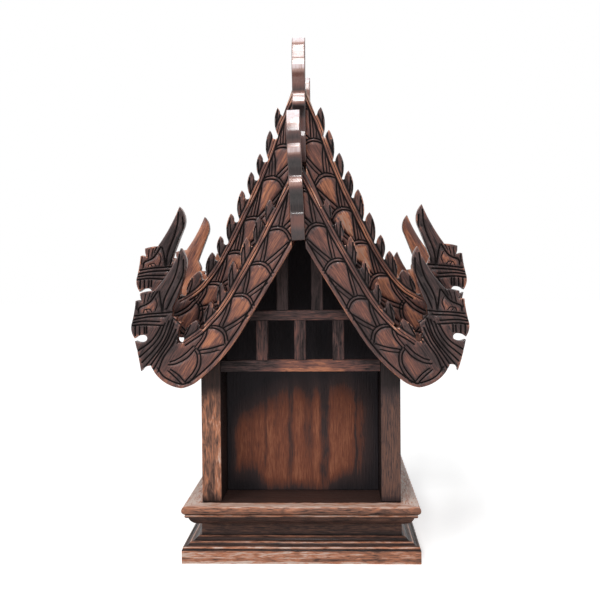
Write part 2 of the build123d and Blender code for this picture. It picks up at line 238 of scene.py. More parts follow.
# The lines round the oval on the neck and the lines on the head, as offsets across and up from
# the neck. The last of the head's lines is the cheek.
NECK_LINES = (
    ((-16.8, 39), (-19.6, 34.2), (-19.6, 23.8), (-15.5, 14.8), (-7.3, 5.0)),
    ((-13.9, 38), (-16.4, 33), (-16.2, 24.4), (-12.3, 16.2), (-4.0, 6.4)),
    ((-14, 39), (-6.5, 30.7), (3.8, 25.1), (11.5, 23.6)),
    ((-12.5, 42.2), (-4.6, 34.4), (4.4, 28.8), (10.0, 27.0)),
    ((-3.6, 6.4), (2.4, 13.3), (9.3, 18.6)),
    ((0.2, 5.4), (6.1, 11.2), (12.6, 17.2)),
)
HEAD_LINES = (
    ((0.2, 132.8), (2.0, 121.5), (6.3, 108.9), (13.4, 95.0), (16.5, 86.2), (17.5, 77.4)),
    ((-3.5, 127.7), (-2.7, 113.9), (2.6, 101.3), (7.8, 91.2), (13.0, 79.9)),
    ((22.4, 96.1), (30.7, 85.8), (40.5, 80.9), (41.8, 77.0)),
    ((45.0, 72.6), (31.0, 74.4), (18.4, 75.2), (8.4, 76.1)),
    ((47.2, 68.4), (40.5, 70.0), (30.7, 71.2), (14.5, 71.8)),
    ((48.2, 65.6), (36.7, 67.0), (20.8, 66.4)),
    ((48.2, 62.6), (36.7, 63.6), (17.8, 62.8)),
    ((20.8, 95.6), (19.6, 87.0), (18.8, 77.0)),
)
HEAD_STROKES = (
    ((-1.0, 63), (3.2, 66.5), (8.0, 71.0)),
    ((28.8, 91.6), (26.0, 96.8)),
    ((32.4, 87.6), (29.8, 95.2)),
    ((36.2, 85.0), (34.4, 93.8)),
    ((42.6, 86.6), (43.4, 79.0)),
    ((36.7, 76.3), (35.3, 78.6), (30.7, 79.2), (28.3, 76.6)),
    ((33.6, 77.8), (32.4, 76.4)),
    ((24.6, 78.4), (23.0, 83.6), (24.2, 88.6)),
)
TEETH_ROOTS = 61.5
TEETH = ((45.4, 53.0), (41.0, 54.0), (36.2, 54.6), (33.6, 54.8))
FOREHEAD = ((21.4, 93.6), (29.5, 84.6), (39.6, 79.6), (40.4, 75.0), (30, 76), (20.6, 77.4))
HORN_BAND = ((1.0, 126), (5.2, 108), (12.4, 94.0), (15.5, 84), (11.6, 80.5), (4.6, 94.5),
             (-1.2, 108), (-2.6, 121))
OVAL = ((-14, 34), (-14, 24), (-9, 15), (-3, 9), (9, 20), (3, 24), (-6, 29))

# Three guides for the strands that sweep from the cheek to the throat and the beard.
STRAND_GUIDES = (
    ((3.2, 53.2), (9.7, 41.8), (17.5, 30.4), (22.7, 17.4)),
    ((8.1, 68.4), (14.0, 51.5), (23.0, 37.5), (36.9, 21.0)),
    ((19.6, 62.2), (24.8, 53.3), (31.3, 45.7), (43.4, 37.6)),
)
STRANDS = (0.0, 0.36, 0.7, 1.0, 1.3, 1.64, 2.0)

# The pitch of the rings that the leaves and the tongue are drawn for.
DRAWN_PITCH = 38.5

# How far the fins' tips stand out from the strip, where they begin beside the finial and end
# before the neck, and how many points of the outline on each side a tip stands out among.
FIN_REACH = (7.5, 24.0)
FINIAL_SIDE = 9.0
NECK_SIDE = 9.0
NEIGHBOURS = 6

# Strokes on a fin: how far down the strip each starts, how much of the way to the tip it goes,
# how far it bends, and its width and depth as a share of a main cut.
FIN_STROKES = ((16.5, 0.88, 0.8, 0.8), (23.5, 0.76, 1.8, 0.7), (30.0, 0.66, 2.6, 0.55))
FIN_ROOT = -3.8

# The horn of an upper board starts to lean out at this height over the neck, and leans out in
# full this much higher.
HORN_FOOT = 84
HORN_RISE = 50

# How far a hand strays from a drawn point.
WOBBLE = 0.25

# Lines along the whole board are drawn through places this far apart, from before its start.
COURSE_START = -6
COURSE_STEP = 9.0


def ring_lines(strip, ring, pitch, leaves):
    """One stretch of the body: a double ring, a tongue below it that narrows to the next ring,
    and the thin leaves on both sides of the tongue."""

    def line(*places):
        return [strip.at(ring + along, aside) for along, aside in places]

    span = pitch / DRAWN_PITCH
    main = [
        line((4.6, 25.8), (0.2, 19.0), (-0.4, 12.4), (2.2, 6.6), (6.0, 3.0)),
        line((7.9, 25.6), (3.5, 19.0), (2.9, 12.6), (5.3, 7.2), (8.9, 3.2)),
        line((10.2, 25.0), (24 * span, 19.6), (37.4 * span, 14.2)),
        line((9.6, 3.0), (22 * span, 7.9), (36.6 * span, 12.4)),
    ]
    side = [
        line((16.0, 25.8), (27 * span, 22.3), (38.6 * span, 17.8)),
        line((14.6, 3.0), (26 * span, 6.0), (37.8 * span, 9.4)),
    ]
    fine = [line((20.5 + 5 * k, 3.0), (31 * span + 3 * k, 4.8 - k), (38.8 * span, 6.6 - 2 * k))
            for k in range(leaves)]
    tongue = line((8.6, 22.5), (5.4, 17), (5.2, 12), (8.4, 6.4), (22 * span, 9.4),
                  (34 * span, 13.4), (24 * span, 18.0), (12, 22.6))
    return main, side, fine, tongue


def strand(share):
    """A strand between two of the guides."""
    first = min(int(share), len(STRAND_GUIDES) - 2)
    part = share - first
    return [tuple(a + (b - a) * part for a, b in zip(start, finish))
            for start, finish in zip(STRAND_GUIDES[first], STRAND_GUIDES[first + 1])]


def fin_tips(outline, strip, head):
    """Where the fins' tips are: the places of an outline that stand out furthest from the strip
    among their neighbours, between the finial and the head."""
    along, aside = strip.locate(outline)
    count = len(outline)
    nearby = range(-NEIGHBOURS, NEIGHBOURS + 1)
    short, long = FIN_REACH
    tips = []
    for index, (x, z) in enumerate(outline):
        around = aside[[(index + k) % count for k in nearby]]
        stands_out = -long < aside[index] < -short and aside[index] == around.min()
        if FINIAL_SIDE < x < head and stands_out:
            tips.append((np.array((x, z)), along[index], aside[index]))
    return tips


# How far the stain is rubbed off each tongue of a front board, from the finial down to the neck.
RUBBED = {
    ("upper", "left"): (0.2, 0.3, 0.5, 0.7, 0.6, 0.5, 0.4),
    ("upper", "right"): (0.0, 0.0, 0.06, 0.55, 1.0, 0.95, 0.45),
    ("lower", "left"): (0.2, 0.4, 0.35, 0.5, 0.8, 0.8),
    ("lower", "right"): (0.1, 0.2, 0.45, 0.45, 0.55, 0.3),
}


class Carving:
    """The cut lines of one board, and the fields between them that are stained in their own
    way. Lines of one width and depth are kept together."""

    def __init__(self, tier, side_name, outline, wobble):
        self.plan = TIERS[tier]
        self.cuts = {}
        self.fields = []
        self.wobble = wobble
        self.strip = Course(self.plan["strip"])
        self.belly = Course(self.plan["belly"])
        self.neck = np.array(self.plan["neck"], float)
        sizes = settings("carving")
        self.wide, self.deep = sizes.groove / MM, sizes.groove_depth / MM
        self.thin, self.shallow = sizes.stroke / MM, sizes.stroke_depth / MM
        self.body(tier, side_name)
        self.head()
        self.fins(outline)

    def cut(self, points, half, depth):
        shaken = [tuple(place + self.wobble.uniform(-WOBBLE, WOBBLE) for place in point)
                  for point in points]
        self.cuts.setdefault((round(half, 3), round(depth, 3)), []).append(smooth_line(shaken))

    def along(self, course, stop, aside, half, depth):
        places = np.arange(COURSE_START, stop, COURSE_STEP)
        self.cut([course.at(place, aside) for place in places], half, depth)

    def field(self, points, lift, rubbed):
        loop = np.array(points, float)
        self.fields.append((loop if cross_area(loop) > 0 else loop[::-1], lift, rubbed))

    def body(self, tier, side_name):
        wide, deep = self.wide, self.deep
        strip, end = self.strip, self.strip.length
        self.along(strip, end + 1, -3.3, 1.1 * wide, deep)
        self.along(strip, end + 1, -0.1, 0.75 * self.thin, 0.8 * self.shallow)
        self.along(strip, end - 2, 3.0, 0.95 * wide, 0.95 * deep)
        self.along(self.belly, self.belly.length - 1, -4.3, 0.95 * wide, 0.95 * deep)
        rings = self.plan["rings"][side_name]
        pitches = tuple(np.diff(rings + (self.plan["ring_end"],)))
        leaves = 1 if tier == "upper" else 0
        for ring, pitch, rubbed in zip((rings[0] - pitches[0],) + rings, pitches[:1] + pitches,
                                       RUBBED[tier, side_name]):
            main, side, fine, tongue = ring_lines(strip, ring, pitch, leaves)
            for points in main:
                self.cut(points, 0.9 * wide, 0.85 * deep)
            for points in side:
                self.cut(points, 0.7 * wide, 0.7 * deep)
            for points in fine:
                self.cut(points, self.thin, self.shallow)
            self.field(tongue, 0.33, rubbed)

    def head(self):
        wide, deep = self.wide, self.deep
        for points in NECK_LINES:
            self.cut(self.neck + np.array(points), 0.9 * wide, 0.85 * deep)
        for points in HEAD_LINES:
            self.cut(self.on_head(points), wide, deep)
        for points in HEAD_STROKES:
            self.cut(self.on_head(points), self.thin, self.shallow)
        for x, z in TEETH:
            self.cut(self.on_head(((x - 0.2, TEETH_ROOTS), (x, z))), wide, deep)
        for share in STRANDS:
            self.cut(self.neck + np.array(strand(share)), wide, 0.9 * deep)
        self.field(self.neck + np.array(OVAL), 0.30, 0.5)
        self.field(self.on_head(FOREHEAD), 0.45, 0.75)
        self.field(self.on_head(HORN_BAND), -0.3, 0.0)

    def on_head(self, points):
        """Points on the head, with the horn of the upper boards further out."""
        spots = np.array(points, float)
        spots[:, 0] += self.plan["horn_out"] * np.clip((spots[:, 1] - HORN_FOOT) / HORN_RISE, 0, 1)
        return self.neck + spots

    def fins(self, outline):
        for tip, along, aside in fin_tips(outline, self.strip, self.neck[0] - NECK_SIDE):
            for start, reach, bend, share in FIN_STROKES:
                root = np.array(self.strip.at(along + start, FIN_ROOT))
                middle = np.array(self.strip.at(along + start * 0.5, 0.58 * aside - bend))
                self.cut((root, middle, root + (tip - root) * reach),
                         share * self.wide, share * self.deep)


# Stain gathers out to this many half widths of a cut, and in full in cuts of this depth. Points
# further than this from every cut count as plain.
INK_SPREAD = 1.3
INK_DEPTH = 1.2
FAR = 99.0


def cut_depths(points, cuts):
    """For each point how deep it is cut, how much stain has gathered there from 0 to 1, and how
    far the nearest cut's edge is."""
    depth = np.zeros(len(points))
    inked = np.zeros(len(points))
    near = np.full(len(points), FAR)
    for (half, deepest), lines in cuts.items():
        away, _ = nearest(points, np.vstack([samples(line) for line in lines]))
        depth = np.maximum(depth, deepest * np.clip(1 - (away / half) ** 2, 0, 1))
        gathered = np.clip(INK_SPREAD - away / half, 0, 1) * min(1.0, deepest / INK_DEPTH)
        inked = np.maximum(inked, gathered)
        near = np.minimum(near, np.maximum(away - half, 0))
    return depth, inked, near


def from_loop(points, loop):
    """How far each point is from a closed line."""
    return nearest(points, samples(np.vstack((loop, loop[:1]))))[0]


def inside_loop(points, loop):
    """Which points are inside a closed line."""
    inside = np.zeros(len(points), bool)
    x, z = points[:, 0], points[:, 1]
    for (x1, z1), (x2, z2) in zip(loop, np.roll(loop, -1, axis=0)):
        if z1 == z2:
            continue
        crosses = ((z1 > z) != (z2 > z)) & (x < (x2 - x1) * (z - z1) / (z2 - z1) + x1)
        inside ^= crosses
    return inside


# Points this near to a board's face, in metres, lie on it.
ON_FACE = 2e-5


def face_outline(node, face_y):
    """The outline of a board's outer face in order, as (x, z) in millimetres."""
    mesh = NODES[node].data
    edges = set()
    for polygon in mesh.polygons:
        corners = [mesh.vertices[i].co for i in polygon.vertices]
        if all(abs(c.y - face_y) < ON_FACE for c in corners):
            places = [(round(c.x / MM, 3), round(c.z / MM, 3)) for c in corners]
            edges.update(zip(places, places[1:] + places[:1]))
    following = {a: b for a, b in edges if (b, a) not in edges}
    if not following:
        raise RuntimeError(f"no face at {face_y} on {node}")
    place = next(iter(following))
    loop = [place]
    while following[place] != loop[0]:
        place = following[place]
        loop.append(place)
    return np.array(loop)


def divided(loop, step):
    """A closed line with points no further apart than step."""
    points = []
    for a, b in zip(loop, np.roll(loop, -1, axis=0)):
        count = max(1, int(np.ceil(np.hypot(*(b - a)) / step)))
        points += [a + (b - a) * k / count for k in range(count)]
    return np.array(points)


def spaced(kept, candidates, gap):
    """The candidates that lie at least gap from the points kept and from each other."""
    cells = {}
    for x, z in kept:
        cells.setdefault((int(x // gap), int(z // gap)), []).append((x, z))
    chosen = []
    for x, z in candidates:
        i, k = int(x // gap), int(z // gap)
        close = any((x - u) ** 2 + (z - v) ** 2 < gap * gap
                    for a in (i - 1, i, i + 1) for b in (k - 1, k, k + 1)
                    for u, v in cells.get((a, b), ()))
        if not close:
            cells.setdefault((i, k), []).append((x, z))
            chosen.append((x, z))
    return chosen


def beside(line, aside):
    """A line moved to one side."""
    ahead = np.gradient(line, axis=0)
    ahead /= np.maximum(np.hypot(*ahead.T), 1e-9)[:, None]
    return line + np.column_stack((ahead[:, 1], -ahead[:, 0])) * aside


# The least gaps between points: along the cuts, beside them and to the outline. Those of the
# grid and its rows are shares of its spacing.
CUT_GAP = 0.42
SIDE_GAP = 0.5
OUTLINE_GAP = 0.33
GRID_GAP = 0.62
ROW_GAP = 0.87


def face_points(outline, cuts, spacing, rim):
    """Points for a face: on the cut lines and their edges, a rim inside the outline, and a
    grid on the fields between."""
    kept = [tuple(p) for p in outline]
    chosen = []
    if cuts:
        every = [line for lines in cuts.values() for line in lines]
        chosen = spaced(kept, np.vstack(every), CUT_GAP)
    sides = [beside(line, side * half) for (half, _), lines in cuts.items() for line in lines
             for side in (-1, 1)]
    for offset in rim:
        loop = np.vstack((outline[-1:], outline, outline[:1]))
        sides += [beside(loop, offset)[1:-1], beside(loop, -offset)[1:-1]]
    chosen += spaced(kept + chosen, np.vstack(sides), SIDE_GAP)
    low, high = outline.min(0), outline.max(0)
    grid = [(x, z) for row, z in enumerate(np.arange(low[1], high[1], spacing * ROW_GAP))
            for x in np.arange(low[0] + (row % 2) * spacing / 2, high[0], spacing)]
    chosen += spaced(kept + chosen, grid, spacing * GRID_GAP)
    chosen = np.array(chosen)
    chosen = chosen[inside_loop(chosen, outline)]
    return chosen[from_loop(chosen, outline) > OUTLINE_GAP]


def triangles(outline, inner):
    """Triangles over the outline and the points inside it."""
    places = [Vector(p) for p in outline] + [Vector(p) for p in inner]
    ring = list(range(len(outline)))
    result = delaunay_2d_cdt(places, [], [ring], 1, 1e-5)
    return np.array([tuple(p) for p in result[0]]), result[2]


# How far a worn edge falls, as a share of how wide it is.
EDGE_FALL = 0.75


def rim_depth(away, radius):
    """How far a rounded edge falls at a distance from the outline."""
    t = np.clip(away / radius, 0, 1)
    return radius * EDGE_FALL * (1 - np.sqrt(np.clip(1 - (1 - t) ** 2, 0, 1)))


# Points on a board's outline are at most this far apart, and those of its plain back are
# spaced this wide.
OUTLINE_STEP = 1.1
BACK_SPACING = 7.0

# How far from a cut its field and its ridge fade, and from the outline the bare edge of the face
# and of the back.
CROWN_FADE = 1.7
RIDGE_FADE = 1.5
EDGE_FADE = 1.5
BACK_EDGE_FADE = 1.7

# Rings of points round a board's side: how far behind the face, and how bare the wood is. Then
# the stain on the side and on the back.
SIDE_RINGS = ((0.7, 0.45), (2.2, 0.15))
SIDE_STAIN = {"inked": 0.1, "tone": 0.2, "rubbed": 0.1, "ridge": 0.0}
BACK_STAIN = {"inked": 0.0, "tone": 0.6, "rubbed": 1.0, "ridge": 0.0}

# Edges of a carved board that turn by more degrees than this stay crisp.
CARVED_CREASE = 62


class Shell:
    """The points of one board, and the values that the stain reads at each of them."""

    def __init__(self, side):
        self.side = side
        self.verts = []
        self.values = {name: [] for name in ("inked", "tone", "rubbed", "edge", "ridge")}

    def add(self, points, depths, values):
        """Adds points at places along Y, and gives their indexes."""
        start = len(self.verts)
        self.verts += [(self.side * x * MM, y, z * MM) for (x, z), y in zip(points, depths)]
        for name, column in self.values.items():
            column += list(np.broadcast_to(values[name], len(points)))
        return list(range(start, len(self.verts)))


def carved_board(end_name, tier, side_name):
    """One serpent board with its cut lines, its set-back fins and its worn edges."""
    end, side = ENDS[end_name], SIDES[side_name]
    node = f"{end_name}_{tier}_serpent_{side_name}"
    low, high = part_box(node)
    face_y, back_y = (low.y, high.y) if end < 0 else (high.y, low.y)
    sizes = settings("carving")
    radius = sizes.edge_round / MM
    outline = face_outline(node, face_y) * (side, 1)
    if cross_area(outline) < 0:
        outline = outline[::-1]
    outline = divided(outline, OUTLINE_STEP)
    carving = Carving(tier, side_name, outline, random.Random(node))

    inner = face_points(outline, carving.cuts, sizes.spacing / MM, (0.45 * radius, radius))
    points, faces = triangles(outline, inner)
    cuts, inked, near = cut_depths(points, carving.cuts)
    away = from_loop(points, outline)
    sunk = fin_share(points, carving.strip)
    depth = cuts + sunk * sizes.fin_drop / MM + sizes.crown / MM * np.exp(-near / CROWN_FADE)
    depth += rim_depth(away, radius)
    tone, rubbed = board_tones(points, carving, sunk)
    ridge = np.clip(1 - near / RIDGE_FADE, 0, 1) * np.clip(1 - 2 * inked, 0, 1)

    shell = Shell(side)
    shell.add(points, face_y - end * depth * MM,
              {"inked": inked, "tone": tone, "rubbed": rubbed, "ridge": ridge,
               "edge": np.clip(1 - away / EDGE_FADE, 0, 1)})
    rings = [loops_of(points, outline)]
    rim, rim_depths = points[rings[0]], depth[rings[0]]
    for behind, bare in SIDE_RINGS:
        rings.append(shell.add(rim, face_y - end * (rim_depths + behind) * MM,
                               {**SIDE_STAIN, "edge": bare}))
    back_inner = face_points(outline, {}, BACK_SPACING, (0.9 * radius,))
    back_points, back_faces = triangles(outline, back_inner)
    back_away = from_loop(back_points, outline)
    back = shell.add(back_points, back_y + end * rim_depth(back_away, radius) * MM,
                     {**BACK_STAIN, "edge": np.clip(1 - back_away / BACK_EDGE_FADE, 0, 1)})
    rings.append([back[i] for i in loops_of(back_points, outline)])

    polygons = [tuple(f) for f in faces]
    for near_ring, far_ring in zip(rings, rings[1:]):
        for a, b, c, d in zip(near_ring, near_ring[1:] + near_ring[:1],
                              far_ring[1:] + far_ring[:1], far_ring):
            polygons.append((b, a, d, c))
    polygons += [tuple(back[i] for i in reversed(f)) for f in back_faces]
    if side * end > 0:
        polygons = [tuple(reversed(p)) for p in polygons]
    mesh = bpy.data.meshes.new(f"{end_name}_{tier}_carved_{side_name}")
    mesh.from_pydata(shell.verts, [], polygons)
    mesh.validate()
    for name, column in shell.values.items():
        layer = mesh.attributes.new(name, "FLOAT", "POINT")
        layer.data.foreach_set("value", np.array(column, dtype=np.float32))
    mesh.shade_smooth()
    mesh.set_sharp_from_angle(angle=radians(CARVED_CREASE))
    return mesh, node


# The fins begin this far from the strip's line, and the strip is this wide to each side.
FIN_START = 3.2
STRIP_HALF = 2.6


def fin_share(points, strip):
    """One on the fins, which lie behind the body, and nothing on the body and the head."""
    along, aside = strip.locate(points)
    return np.clip((-FIN_START - aside) / 0.8, 0, 1) * np.clip((strip.length - 1 - along) / 3, 0, 1)


def board_tones(points, carving, sunk):
    """How light the stain is at each point, and how much of it has rubbed off."""
    along, aside = carving.strip.locate(points)
    across, up = (points - carving.neck).T
    tone = np.full(len(points), 0.54)
    rubbed = np.full(len(points), 0.25)
    tone -= 0.36 * np.clip((across + 6) / 10, 0, 1) * np.clip((up - 14) / 10, 0, 1)
    tone -= 0.27 * sunk
    rubbed -= 0.10 * sunk
    on_strip = (np.abs(aside) < STRIP_HALF) & (along < carving.strip.length)
    tone += 0.2 * on_strip
    rubbed += 0.3 * on_strip
    for loop, lift, share in carving.fields:
        inside = inside_loop(points, loop)
        fade = np.clip(from_loop(points[inside], loop) / 1.5, 0, 1)
        tone[inside] += fade * lift
        rubbed[inside] += fade * (share - rubbed[inside])
    return tone, rubbed


def cross_area(loop):
    """Area inside a closed line, positive when it runs anticlockwise."""
    return 0.5 * np.sum(loop[:, 0] * np.roll(loop[:, 1], -1)
                        - np.roll(loop[:, 0], -1) * loop[:, 1])


def loops_of(points, outline):
    """Indexes of the outline's points in order among all points."""
    return [int(spot) for spot in nearest(outline, points)[1]]


def placed(mesh, name, node, material):
    """A piece that stands for a CAD node, with its material and the slot it belongs to."""
    piece = bpy.data.objects.new(name, mesh)
    bpy.context.scene.collection.objects.link(piece)
    piece.data.materials.clear()
    piece.data.materials.append(material)
    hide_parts(node)
    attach(piece, "root")
    return piece


# Points nearer than this, in metres, are one, and faces that turn by fewer degrees than this
# are joined. Edges that turn by more than an edge's angle are rounded, and those that turn by
# more than a crease's stay crisp.
JOINED = 2e-6
FLAT_ANGLE = 0.6
EDGE_ANGLE = 30
CREASE_ANGLE = 38


def softened(node, ending, width, material, segments=2):
    """A plain piece with worn, rounded edges, cut from its CAD node. The faces of the rounded
    edges carry the value that the stain reads to show bare wood."""
    work = bmesh.new()
    work.from_mesh(NODES[node].data)
    bmesh.ops.remove_doubles(work, verts=work.verts, dist=JOINED)
    bmesh.ops.dissolve_limit(work, angle_limit=radians(FLAT_ANGLE), verts=work.verts,
                             edges=work.edges)
    sharp = [e for e in work.edges
             if len(e.link_faces) == 2 and e.calc_face_angle(0) > radians(EDGE_ANGLE)]
    made = bmesh.ops.bevel(work, geom=sharp, offset=width, offset_type="OFFSET",
                           segments=segments, profile=0.6, affect="EDGES", clamp_overlap=True)
    layer = work.faces.layers.float.new("edge")
    for face in made["faces"]:
        if face.is_valid:
            face[layer] = 1.0
    bmesh.ops.recalc_face_normals(work, faces=work.faces)
    name = f"{node}_{ending}"
    mesh = bpy.data.meshes.new(name)
    work.to_mesh(mesh)
    work.free()
    mesh.shade_smooth()
    mesh.set_sharp_from_angle(angle=radians(CREASE_ANGLE))
    piece = placed(mesh, name, node, material)
    piece.modifiers.new("Even faces", "WEIGHTED_NORMAL").keep_sharp = True


# Stains

# Turns that lay the grain upright, across the house or from front to back.
UPRIGHT = (0, 0, 0)
ACROSS = (0, radians(90), 0)
DEEP = (radians(90), 0, 0)

# How far the streaks stand up.
BUMP = 0.0004


class Wiring:
    """Adds nodes to a node tree and joins them."""

    def __init__(self, tree):
        self.tree = tree

    def new(self, kind, **values):
        node = self.tree.nodes.new(kind)
        for key, value in values.items():
            setattr(node, key, value)
        return node

    def link(self, source, target):
        """Joins a socket to another, or sets a plain value on it."""
        if isinstance(source, bpy.types.NodeSocket):
            self.tree.links.new(source, target)
        else:
            target.default_value = source

    def math(self, kind, a, b=0.0, c=0.0):
        node = self.new("ShaderNodeMath", operation=kind)
        for value, socket in zip((a, b, c), node.inputs):
            self.link(value, socket)
        return node.outputs[0]

    def times(self, a, b):
        return self.math("MULTIPLY", a, b)

    def less(self, a, b):
        return self.math("SUBTRACT", a, b)

    def away(self, value, place=0.0):
        """How far a value is from a place, to either side."""
        return self.math("ABSOLUTE", self.less(value, place))

    def total(self, start, *parts):
        """A number with shares of some values added to it."""
        for value, share in parts:
            start = self.math("MULTIPLY_ADD", value, share, start)
        return start

    def spread(self, value, low, high, start=0.0, finish=1.0, kind="SMOOTHSTEP"):
        """A value that goes from start to finish as another goes from low to high."""
        node = self.new("ShaderNodeMapRange", interpolation_type=kind)
        for number, socket in zip((value, low, high, start, finish), node.inputs):
            self.link(number, socket)
        return node.outputs[0]

    def seen_rays(self):
        """One for rays that show a surface to the eye: straight, mirrored or through glass."""
        path = self.new("ShaderNodeLightPath").outputs
        kinds = ("Is Camera Ray", "Is Glossy Ray", "Is Transmission Ray")
        return self.math("MINIMUM", self.total(0.0, *((path[kind], 1.0) for kind in kinds)), 1.0)


class Stain(Wiring):
    """Builds the nodes of one wood finish."""

    def __init__(self, name):
        self.material = bpy.data.materials.new(name)
        self.material.use_nodes = True
        super().__init__(self.material.node_tree)
        self.shader = self.tree.nodes["Principled BSDF"]
        spots = self.new("ShaderNodeTexCoord").outputs
        self.place, self.normal = spots["Object"], spots["Normal"]

    def along(self, turn=UPRIGHT, scale=(1, 1, 1), shift=(0, 0, 0)):
        """The place on the wood, turned so that the grain runs along Z, and scaled."""
        mapping = self.new("ShaderNodeMapping", vector_type="TEXTURE")
        self.link(self.place, mapping.inputs["Vector"])
        mapping.inputs["Rotation"].default_value = turn
        stretched = self.new("ShaderNodeMapping")
        self.link(mapping.outputs[0], stretched.inputs["Vector"])
        stretched.inputs["Scale"].default_value = scale
        stretched.inputs["Location"].default_value = shift
        return stretched.outputs[0]

    def noise(self, vector, scale, detail=4, rough=0.55, twist=0.0):
        """Noise that swings about nothing, mostly between -1 and 1."""
        node = self.new("ShaderNodeTexNoise")
        for name, value in {"Vector": vector, "Scale": scale, "Detail": detail,
                            "Roughness": rough, "Distortion": twist}.items():
            self.link(value, node.inputs[name])
        return self.spread(node.outputs["Fac"], 0.28, 0.72, -1.0, 1.0)

    def pores(self, turn, stretch, seed, scale, low):
        """Fine dark pores along the grain."""
        grain = self.along(turn, (1, 1, stretch), (0, 0, seed))
        return self.spread(self.noise(grain, scale, 2, 0.5), low, 0.9)

    def attribute(self, name):
        return self.new("ShaderNodeAttribute", attribute_name=name).outputs["Fac"]

    def ramp(self, value, stops):
        """A colour that changes with a value, from stops in rising order."""
        node = self.new("ShaderNodeValToRGB")
        elements = node.color_ramp.elements
        elements.remove(elements[1])
        elements[0].position = stops[0][0]
        elements[0].color = (*stops[0][1], 1.0)
        for position, tint in stops[1:]:
            elements.new(position).color = (*tint, 1.0)
        self.link(value, node.inputs[0])
        return node.outputs["Color"]

    def level(self, value, low, high, stops):
        """A number that changes with a value between two limits."""
        share = self.math("DIVIDE", self.less(value, low), high - low)
        return self.ramp(share, [((place - low) / (high - low), (worn,) * 3)
                                 for place, worn in stops])

    def wood(self, wear, cut="cut", dark="dark", brown="brown", orange="orange", worn="worn"):
        """The stain's colour, from black in the cut lines and in painted shade to bare wood where
        it has worn off.
        """
        tints = settings("stain")
        return self.ramp(wear, [(0.25 * step, getattr(tints, name)) for step, name
                                in enumerate((cut, dark, brown, orange, worn))])

    def split(self, vector):
        """The three numbers of a place or a direction."""
        node = self.new("ShaderNodeSeparateXYZ")
        self.link(vector, node.inputs[0])
        return node.outputs

    def finish(self, base, rough, height, strength):
        """The material, with its colour, its roughness and a height that shows as bump."""
        bump = self.new("ShaderNodeBump")
        sockets = self.shader.inputs
        for source, target in ((base, sockets["Base Color"]), (rough, sockets["Roughness"]),
                               (strength, bump.inputs["Strength"]),
                               (BUMP, bump.inputs["Distance"]), (height, bump.inputs["Height"]),
                               (bump.outputs[0], sockets["Normal"])):
            self.link(source, target)
        return self.material

    def varnish(self, specular, coat=0.0, coat_rough=0.2):
        for name, value in {"Specular IOR Level": specular, "Coat Weight": coat,
                            "Coat Roughness": coat_rough}.items():
            self.shader.inputs[name].default_value = value


class PlainStain(Stain):
    """The finish of plain wood. Its change is how the wear swings about nothing, with blotches
    along the grain and fine pores, and its edge is where the edges are bare."""

    def __init__(self, name, turn, seed, mottle, fine):
        super().__init__(name)
        grain = self.along(turn, (1, 1, 0.05), (seed, 0, 0))
        self.streaks = self.noise(grain, 900, 4, 0.6)
        blotches = self.noise(self.along(turn, (1, 1, 0.2), (0, seed, 0)), 250, 4, 0.6, 1.1)
        bands = self.noise(grain, 120, 3, 0.5)
        pores = self.pores(turn, 0.09, seed, 1100, 0.35)
        self.change = self.total(0.0, (self.streaks, fine), (blotches, mottle),
                                 (bands, 0.6 * mottle), (pores, -1.6 * fine))
        self.edge = self.times(self.attribute("edge"), self.spread(blotches, -0.6, 0.5))

    def planed(self, wear, rough, strength, **tints):
        """The material, from how worn the wood is."""
        return self.finish(self.wood(wear, **tints), self.total(rough, (self.streaks, 0.08)),
                           self.streaks, strength)


def carved_stain(name, turn, warm, light, seed):
    """The stain on a carved board: near black in the cuts, brown on the fields, bare on edges."""
    stain = Stain(name)
    grain = stain.along(turn, (1, 1, 0.07), (seed, 0, 0))
    streaks = stain.noise(grain, 800, 4, 0.6)
    bands = stain.noise(grain, 210, 3, 0.5)
    patches = stain.noise(stain.along(turn, (1, 1, 0.4), (seed, seed, 0)), 70, 3, 0.55)
    pores = stain.pores(turn, 0.10, seed, 1000, 0.3)
    rubbed = stain.attribute("rubbed")
    worn = stain.spread(patches, -0.7, 0.6)
    ridge = stain.times(stain.attribute("ridge"), worn)
    edge = stain.attribute("edge")
    wear = stain.total(light, (stain.attribute("tone"), 0.26), (rubbed, 0.10 + 0.36 * warm),
                       (streaks, 0.12), (bands, 0.07), (stain.times(rubbed, patches), 0.10),
                       (ridge, 0.42), (pores, -0.10), (stain.times(edge, worn), 0.34))
    inked = stain.spread(stain.attribute("inked"), 0.08, 0.7)
    wear = stain.times(wear, stain.total(1.0, (inked, -0.97)))
    rough = stain.total(0.40, (streaks, 0.07), (inked, 0.3))
    stain.varnish(0.12, coat_rough=0.16)
    stain.link(stain.total(0.06, (edge, 0.7), (ridge, 0.5), (inked, -0.06)),
               stain.shader.inputs["Coat Weight"])
    return stain.finish(stain.wood(wear), rough, streaks, 0.4)


# Operators

